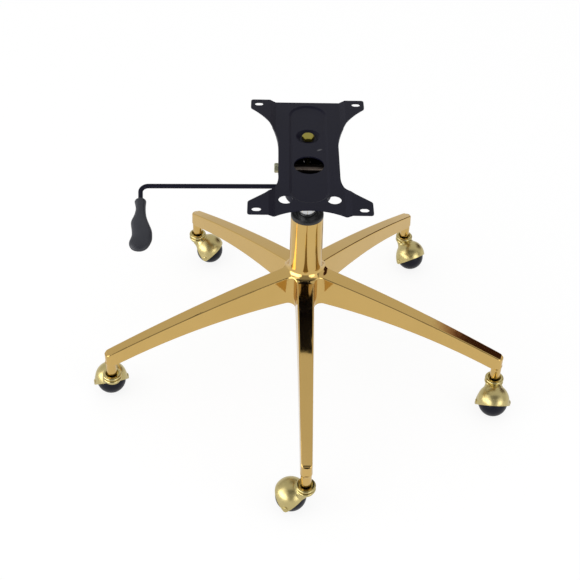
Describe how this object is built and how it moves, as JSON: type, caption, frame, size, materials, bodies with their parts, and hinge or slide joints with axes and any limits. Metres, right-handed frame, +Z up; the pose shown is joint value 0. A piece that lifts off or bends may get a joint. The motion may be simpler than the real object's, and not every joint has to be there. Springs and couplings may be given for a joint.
{
  "type": "office chair base with tilt mechanism",
  "caption": "Polished star base with hooded ball casters, gas lift column, height lever and tilting seat mounting plate.",
  "frame": {"origin": "on the floor, under the axis of the column", "axes": "+Z up along the column, +Y towards the front of the seat, +X to the right of the picture, with the height lever on the -X side"},
  "size_m": [0.678, 0.6289, 0.405],
  "materials": {
    "gold_casting": "polished",
    "brass_hood": "satin",
    "ball_plastic": "gloss",
    "black_steel": "powder coat",
    "black_plastic": "matte",
    "chrome_tube": "polished",
    "bright_steel": "satin",
    "yellow_zinc": "satin",
    "pale_zinc": "satin",
    "nylon": "matte",
    "rubber_stop": "matte"
  },
  "bodies": {
    "base": {"star_base": "gold_casting", "guide_bush": "black_plastic", "lower_race": "bright_steel", "ball_cage": "bright_steel", "caster_stem_1": "bright_steel", "grip_ring_1": "bright_steel", "caster_stem_2": "bright_steel", "grip_ring_2": "bright_steel", "caster_stem_3": "bright_steel", "grip_ring_3": "bright_steel", "caster_stem_4": "bright_steel", "grip_ring_4": "bright_steel", "caster_stem_5": "bright_steel", "grip_ring_5": "bright_steel"},
    "swivel_rod": {"piston_rod": "bright_steel", "piston": "nylon", "rubber_buffer": "rubber_stop", "rod_clip": "bright_steel", "upper_race": "bright_steel"},
    "lift": {"gas_cylinder": "chrome_tube", "cone_bush": "black_steel", "lower_housing": "black_steel", "pivot_sleeve": "bright_steel", "pivot_washers": "nylon", "stop_pad": "rubber_stop", "spring_seat": "bright_steel", "tension_spring": "black_steel"},
    "seat": {"seat_plate": "black_steel", "pivot_bolt": "pale_zinc", "pivot_nut": "pale_zinc", "tension_bolt": "yellow_zinc"},
    "knob": {"tension_knob": "black_plastic"},
    "lever": {"lever_rod": "black_steel", "lever_handle": "black_plastic"},
    "button": {"valve_button": "bright_steel"},
    "caster_1": {"caster_hood_1": "brass_hood", "caster_axle_1": "brass_hood"},
    "ball_1": {"caster_ball_1": "ball_plastic"},
    "caster_2": {"caster_hood_2": "brass_hood", "caster_axle_2": "brass_hood"},
    "ball_2": {"caster_ball_2": "ball_plastic"},
    "caster_3": {"caster_hood_3": "brass_hood", "caster_axle_3": "brass_hood"},
    "ball_3": {"caster_ball_3": "ball_plastic"},
    "caster_4": {"caster_hood_4": "brass_hood", "caster_axle_4": "brass_hood"},
    "ball_4": {"caster_ball_4": "ball_plastic"},
    "caster_5": {"caster_hood_5": "brass_hood", "caster_axle_5": "brass_hood"},
    "ball_5": {"caster_ball_5": "ball_plastic"}
  },
  "joints": [
    {"name": "seat_swivel", "type": "hinge", "parent": "base", "child": "swivel_rod", "pos_m": [0, 0, 0.16], "axis": [0, 0, 1], "continuous": true},
    {"name": "seat_height", "type": "slide", "parent": "swivel_rod", "child": "lift", "axis": [0, 0, 1], "range_m": [0, 0.08]},
    {"name": "seat_tilt", "type": "hinge", "parent": "lift", "child": "seat", "pos_m": [0, 0.033, 0.37], "axis": [1, 0, 0], "range_deg": [0, 12], "stiffness_Nm_per_rad": 60, "springref_deg": -6.88, "deforming": ["tension_spring"]},
    {"name": "knob_turn", "type": "hinge", "parent": "seat", "child": "knob", "pos_m": [0, 0.077, 0.29], "axis": [0, 0, 1], "continuous": true},
    {"name": "lever_press", "type": "hinge", "parent": "lift", "child": "lever", "pos_m": [-0.0337, -0.008, 0.3656], "axis": [0, 1, 0], "range_deg": [0, 4.5], "stiffness_Nm_per_rad": 3, "springref_deg": -5.16},
    {"name": "valve_press", "type": "slide", "parent": "lift", "child": "button", "axis": [0, 0, -1], "range_m": [0, 0.0031]},
    {"name": "caster_swivel_1", "type": "hinge", "parent": "base", "child": "caster_1", "pos_m": [0, -0.324, 0.049], "axis": [0, 0, 1], "continuous": true},
    {"name": "ball_roll_1", "type": "hinge", "parent": "caster_1", "child": "ball_1", "pos_m": [-0.0214, -0.31705, 0.0235], "axis": [-0.309, -0.9511, 0], "continuous": true},
    {"name": "caster_swivel_2", "type": "hinge", "parent": "base", "child": "caster_2", "pos_m": [0.30814, -0.10012, 0.049], "axis": [0, 0, 1], "continuous": true},
    {"name": "ball_roll_2", "type": "hinge", "parent": "caster_2", "child": "ball_2", "pos_m": [0.30696, -0.12259, 0.0235], "axis": [0.9986, -0.0523, 0], "continuous": true},
    {"name": "caster_swivel_3", "type": "hinge", "parent": "base", "child": "caster_3", "pos_m": [0.19044, 0.26212, 0.049], "axis": [0, 0, 1], "continuous": true},
    {"name": "ball_roll_3", "type": "hinge", "parent": "caster_3", "child": "ball_3", "pos_m": [0.2027, 0.24325, 0.0235], "axis": [0.8387, 0.5446, 0], "continuous": true},
    {"name": "caster_swivel_4", "type": "hinge", "parent": "base", "child": "caster_4", "pos_m": [-0.19044, 0.26212, 0.049], "axis": [0, 0, 1], "continuous": true},
    {"name": "ball_roll_4", "type": "hinge", "parent": "caster_4", "child": "ball_4", "pos_m": [-0.16881, 0.25592, 0.0235], "axis": [0.2756, 0.9613, 0], "continuous": true},
    {"name": "caster_swivel_5", "type": "hinge", "parent": "base", "child": "caster_5", "pos_m": [-0.30814, -0.10012, 0.049], "axis": [0, 0, 1], "continuous": true},
    {"name": "ball_roll_5", "type": "hinge", "parent": "caster_5", "child": "ball_5", "pos_m": [-0.31434, -0.07849, 0.0235], "axis": [-0.9613, -0.2756, 0], "continuous": true}
  ],
  "couplings": [
    {"joint": "valve_press", "follows": "lever_press", "m_per_rad": 0.039}
  ]
}
